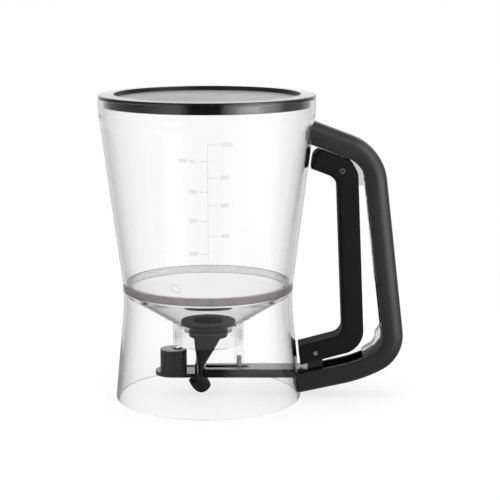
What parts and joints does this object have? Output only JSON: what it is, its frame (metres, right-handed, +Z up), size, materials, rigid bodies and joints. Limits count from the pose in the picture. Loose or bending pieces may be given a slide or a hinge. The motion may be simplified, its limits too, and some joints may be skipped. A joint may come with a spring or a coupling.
{
  "type": "batter dispenser",
  "caption": "Clear conical hopper with a push-in lid on a skirted stand, with a soft pinch nozzle that a squeeze trigger in a side handle opens.",
  "frame": {"origin": "centre of the skirt's rest rim, on the hopper's axis at table level", "axes": "+Z up along the hopper's axis, +X towards the handle, +Y to the far side of the handle's plane"},
  "size_m": [0.198, 0.14, 0.1997],
  "materials": {
    "clear_plastic": "clear, gloss",
    "frosted_plastic": "translucent grey, satin",
    "black_matte": "fine matte grain",
    "black_gloss": "semi-gloss",
    "black_silicone": "soft matte",
    "grey_panel": "satin",
    "steel": "bright"
  },
  "bodies": {
    "jug": {"hopper": "clear_plastic", "joint_ring": "frosted_plastic", "funnel": "clear_plastic", "skirt": "clear_plastic", "nozzle": "black_silicone", "fixed_jaw": "black_gloss", "post_screws": "steel", "handle_frame": "clear_plastic", "handle_cover": "black_matte", "pivot_pin": "steel", "pivot_spacer": "steel", "return_spring": "steel"},
    "trigger": {"trigger": "black_matte", "link_pin": "steel"},
    "slide": {"slide_bar": "black_gloss"},
    "lid": {"lid_rim": "black_gloss", "lid_panel": "grey_panel"}
  },
  "joints": [
    {"name": "trigger_squeeze", "type": "hinge", "parent": "jug", "child": "trigger", "pos_m": [0.0867, 0, 0.1508], "axis": [0, -1, 0], "range_deg": [0, 4.5], "stiffness_Nm_per_rad": 2, "springref_deg": -8.59, "deforming": ["return_spring"]},
    {"name": "bar_slide", "type": "slide", "parent": "jug", "child": "slide", "axis": [1, 0, 0], "range_m": [0, 0.0096], "deforming": ["nozzle"]},
    {"name": "lid_lift", "type": "slide", "parent": "jug", "child": "lid", "axis": [0, 0, 1], "range_m": [0, 0.05]}
  ],
  "couplings": [
    {"joint": "bar_slide", "follows": "trigger_squeeze", "m_per_rad": 0.1208}
  ]
}
